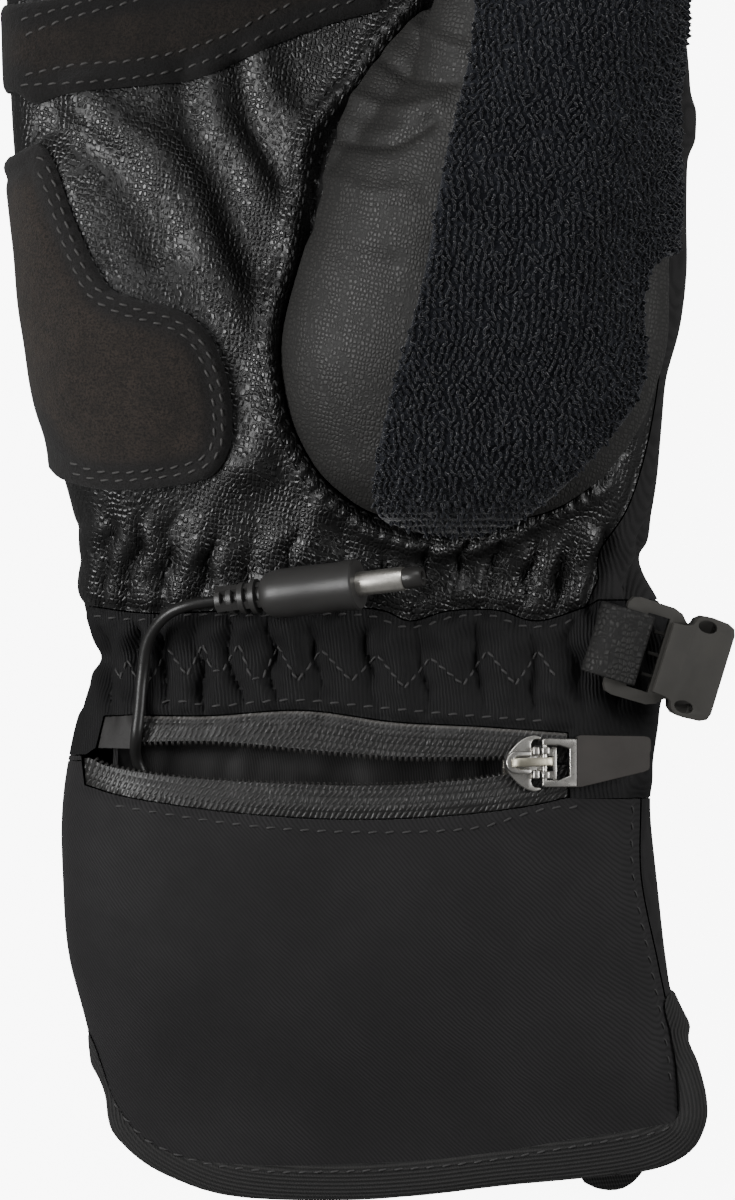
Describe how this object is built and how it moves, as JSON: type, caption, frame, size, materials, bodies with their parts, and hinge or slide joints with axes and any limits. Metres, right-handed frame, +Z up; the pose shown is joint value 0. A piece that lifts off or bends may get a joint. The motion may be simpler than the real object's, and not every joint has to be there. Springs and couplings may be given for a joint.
{
  "type": "heated gauntlet glove, right hand",
  "caption": "Heated winter gauntlet glove for the right hand, palm up, with an open battery pocket, a plug lead and a clip socket.",
  "frame": {"origin": "middle of the footprint of the glove, without its lead and plug, on the surface that it lies on", "axes": "+Z up, out of the palm; +Y from the gauntlet's mouth to the fingertips; +X from the little finger to the thumb"},
  "size_m": [0.1474, 0.3336, 0.0811],
  "materials": {
    "leather": "grained black goat leather, semi-matt",
    "softshell": "black diagonal twill softshell, matt",
    "suede": "brushed dark brown-black suede",
    "terry": "blue-black looped terry",
    "lining": "black lining cloth",
    "tape": "ribbed coated zip tape, half gloss",
    "elastic": "ribbed black elastic binding",
    "rubber": "dark grey rubber, matt",
    "plastic": "dark grey moulded plastic",
    "metal": "satin pewter-coloured zinc",
    "nickel": "polished nickel plate"
  },
  "bodies": {
    "glove": {"palm_panel": "leather", "back_panel": "softshell", "finger_little": "leather", "finger_ring": "leather", "finger_middle": "leather", "finger_index": "leather", "thumb_shell": "leather", "thumb_terry": "terry", "knuckle_band": "suede", "heel_patch": "suede", "wrist_front": "softshell", "pocket_front": "softshell", "gauntlet_back": "softshell", "cuff_binding": "elastic", "pocket_lining": "lining", "zip_tape_upper": "tape", "zip_tape_lower": "tape", "zip_end_tab": "tape", "zip_slider": "metal", "clip_socket": "plastic", "clip_strap": "leather", "lead": "rubber", "plug_body": "rubber", "plug_barrel": "nickel", "plug_tip": "plastic", "lead_grommet": "rubber"},
    "zip_pull": {"zip_pull_frame": "metal", "zip_pull_tab": "rubber"}
  },
  "joints": [
    {"name": "zip_pull_hinge", "type": "hinge", "parent": "glove", "child": "zip_pull", "pos_m": [0.03553, -0.07982, 0.04427], "axis": [0, -0.9944, 0.1056], "range_deg": [0, 135]}
  ]
}
